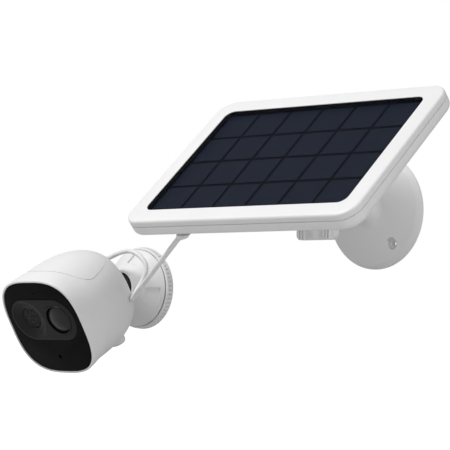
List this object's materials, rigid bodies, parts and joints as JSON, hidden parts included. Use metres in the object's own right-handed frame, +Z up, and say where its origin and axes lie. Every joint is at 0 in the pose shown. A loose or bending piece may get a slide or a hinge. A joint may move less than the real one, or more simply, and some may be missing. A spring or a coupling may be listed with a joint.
{
  "type": "security camera with solar panel",
  "caption": "Battery security camera on a ball mount, with a black sensor face and lifting top cover, fed by a cable from a solar panel on its own adjustable wall bracket.",
  "frame": {"origin": "centre of the back face of the camera mount's wall plate, on the wall", "axes": "+Z up; the wall is the plane Y = 0 and everything stands out from it towards -Y; +X runs from the camera to the panel's bracket"},
  "size_m": [0.3503, 0.1493, 0.1877],
  "materials": {
    "white_case": "fine matt texture",
    "panel_white": "smooth matt",
    "black_face": "satin",
    "gloss_black": "gloss",
    "dark_dome": "satin, dark",
    "clear_glass": "polished",
    "cell_blue": "smooth, dark blue",
    "black_rubber": "matt",
    "steel": "plated",
    "brass": "turned",
    "circuit_board": "coated",
    "cell_wrap": "shrink sleeve",
    "cable_white": "smooth"
  },
  "bodies": {
    "wall": {"wall_plate": "white_case", "wall_screw_upper": "steel", "wall_screw_lower": "steel", "bracket_base": "white_case", "cable": "cable_white"},
    "collar": {"locking_collar": "white_case"},
    "camera_seat": {"ball_friction_cup": "black_rubber"},
    "camera_stud": {"ball_stud": "black_rubber", "stud_lock_nut": "steel"},
    "camera": {"housing": "white_case", "stud_insert": "brass", "tripod_insert": "brass", "face_plate": "black_face", "sensor_bezel": "gloss_black", "lens_window": "clear_glass", "lens_barrel": "black_face", "front_lens": "clear_glass", "rear_lens": "clear_glass", "pir_ring": "gloss_black", "pir_dome": "dark_dome", "pir_sensor": "steel", "light_sensor": "clear_glass", "microphone": "steel", "image_sensor": "clear_glass", "sensor_board": "circuit_board", "battery_cell_upper": "cell_wrap", "battery_cell_lower": "cell_wrap", "battery_tray": "black_face", "main_board": "circuit_board", "speaker": "black_face", "cover_deck": "white_case", "service_socket": "steel", "cable_plug": "black_rubber", "plug_boot": "cable_white"},
    "cover": {"top_cover": "white_case"},
    "button": {"reset_button": "black_rubber"},
    "knob": {"wing_knob": "white_case", "knob_screw": "steel"},
    "panel_seat": {"panel_friction_cup": "black_rubber"},
    "panel_stud": {"panel_ball_stud": "steel"},
    "panel": {"back_shell": "panel_white", "front_frame": "panel_white", "solar_cells": "cell_blue", "panel_glass": "clear_glass", "charge_board": "circuit_board", "cable_gland": "cable_white", "panel_insert": "brass"}
  },
  "joints": [
    {"name": "collar_twist", "type": "hinge", "parent": "wall", "child": "collar", "pos_m": [0, 0, 0], "axis": [0, 1, 0], "range_deg": [0, 90]},
    {"name": "mount_swivel", "type": "hinge", "parent": "wall", "child": "camera_seat", "pos_m": [0, -0.016, 0], "axis": [0, 1, 0], "range_deg": [-30, 30], "deforming": ["cable"]},
    {"name": "mount_tilt", "type": "hinge", "parent": "camera_seat", "child": "camera_stud", "pos_m": [0, -0.016, 0], "axis": [1, 0, 0], "range_deg": [-35, 2], "deforming": ["cable"]},
    {"name": "camera_turn", "type": "hinge", "parent": "camera_stud", "child": "camera", "pos_m": [0, -0.016, 0], "axis": [0, -0.8572, -0.515], "range_deg": [-20, 20], "deforming": ["cable"]},
    {"name": "cover_hinge", "type": "hinge", "parent": "camera", "child": "cover", "pos_m": [0, -0.10747, 0.01107], "axis": [1, 0, 0], "range_deg": [0, 50]},
    {"name": "reset_press", "type": "slide", "parent": "camera", "child": "button", "axis": [0, 0.515, -0.8572], "range_m": [0, 0.0008], "stiffness_N_per_m": 400, "springref_m": -0.001},
    {"name": "knob_turn", "type": "hinge", "parent": "wall", "child": "knob", "pos_m": [0.2167, -0.063, 0.0337], "axis": [0, 0, 1], "range_deg": [0, 90]},
    {"name": "panel_swivel", "type": "hinge", "parent": "wall", "child": "panel_seat", "pos_m": [0.2167, -0.0708, 0.0507], "axis": [0, 0, 1], "range_deg": [-12, 12], "deforming": ["cable"]},
    {"name": "panel_tilt", "type": "hinge", "parent": "panel_seat", "child": "panel_stud", "pos_m": [0.2167, -0.0708, 0.0507], "axis": [1, 0, 0], "range_deg": [-8, 25], "deforming": ["cable"]},
    {"name": "panel_turn", "type": "hinge", "parent": "panel_stud", "child": "panel", "pos_m": [0.2167, -0.0708, 0.0507], "axis": [0, -0.6468, 0.7627], "range_deg": [-6, 6], "deforming": ["cable"]}
  ]
}
